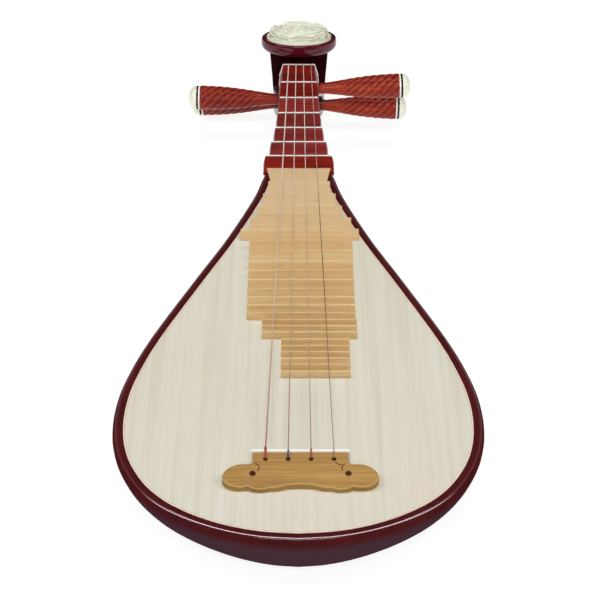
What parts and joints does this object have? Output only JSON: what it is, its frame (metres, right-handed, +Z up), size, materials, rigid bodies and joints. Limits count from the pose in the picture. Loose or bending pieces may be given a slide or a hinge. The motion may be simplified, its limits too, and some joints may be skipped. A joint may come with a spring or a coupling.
{
  "type": "pipa",
  "caption": "Pear-shaped plucked lute with a pale soundboard, bamboo frets, four fluted tuning pegs and a head that curls up to a carved ivory-coloured flower.",
  "frame": {"origin": "middle of the plan box at the lowest level, where the pipa rests when it lies on its back", "axes": "+Z up when it lies on its back, +Y from the tail of the body to the head, +X to the right for someone who looks at the front with the head up"},
  "size_m": [0.3232, 0.9786, 0.1169],
  "materials": {
    "rosewood": "dark red-brown wood under gloss lacquer",
    "paulownia": "bare pale wood, satin",
    "inner_wood": "bare softwood",
    "red_hardwood": "red-brown wood, satin lacquer",
    "bamboo": "pale bamboo, satin",
    "bridge_bamboo": "golden bamboo, satin",
    "white_bone": "polished white bone",
    "carved_bone": "carved ivory-coloured bone or resin",
    "string": "nylon-wound steel string"
  },
  "bodies": {
    "body": {"back_shell": "rosewood", "pegbox": "rosewood", "head_finial": "rosewood", "soundboard": "paulownia", "brace_lower": "inner_wood", "brace_upper": "inner_wood", "sound_post": "inner_wood", "flower_carving": "carved_bone", "nut": "red_hardwood", "nut_cap": "white_bone", "xiang_1": "red_hardwood", "xiang_2": "red_hardwood", "xiang_3": "red_hardwood", "xiang_4": "red_hardwood", "xiang_5": "red_hardwood", "xiang_6": "red_hardwood", "xiang_cap_1": "white_bone", "xiang_cap_2": "white_bone", "xiang_cap_3": "white_bone", "xiang_cap_4": "white_bone", "xiang_cap_5": "white_bone", "xiang_cap_6": "white_bone", "pin_01": "bamboo", "pin_02": "bamboo", "pin_03": "bamboo", "pin_04": "bamboo", "pin_05": "bamboo", "pin_06": "bamboo", "pin_07": "bamboo", "pin_08": "bamboo", "pin_09": "bamboo", "pin_10": "bamboo", "pin_11": "bamboo", "pin_12": "bamboo", "pin_13": "bamboo", "pin_14": "bamboo", "pin_15": "bamboo", "pin_16": "bamboo", "pin_17": "bamboo", "pin_18": "bamboo", "pin_19": "bamboo", "pin_20": "bamboo", "pin_21": "bamboo", "pin_22": "bamboo", "pin_23": "bamboo", "pin_24": "bamboo", "bridge": "bridge_bamboo", "saddle_strip": "white_bone", "string_1": "string", "string_2": "string", "string_3": "string", "string_4": "string"},
    "peg_1": {"tuning_peg_1": "red_hardwood", "peg_cap_1": "carved_bone"},
    "peg_2": {"tuning_peg_2": "red_hardwood", "peg_cap_2": "carved_bone"},
    "peg_3": {"tuning_peg_3": "red_hardwood", "peg_cap_3": "carved_bone"},
    "peg_4": {"tuning_peg_4": "red_hardwood", "peg_cap_4": "carved_bone"}
  },
  "joints": [
    {"name": "peg_1_turn", "type": "hinge", "parent": "body", "child": "peg_1", "pos_m": [0, 0.31903, 0.07659], "axis": [0.9994, 0.0208, 0.028], "continuous": true},
    {"name": "peg_2_turn", "type": "hinge", "parent": "body", "child": "peg_2", "pos_m": [0, 0.34048, 0.05282], "axis": [-0.9998, 0.0125, 0.0168], "continuous": true},
    {"name": "peg_3_turn", "type": "hinge", "parent": "body", "child": "peg_3", "pos_m": [0, 0.37384, 0.03077], "axis": [0.9995, -0.0187, -0.0252], "continuous": true},
    {"name": "peg_4_turn", "type": "hinge", "parent": "body", "child": "peg_4", "pos_m": [0, 0.3964, 0.02209], "axis": [-1, -0.0042, -0.0056], "continuous": true}
  ]
}
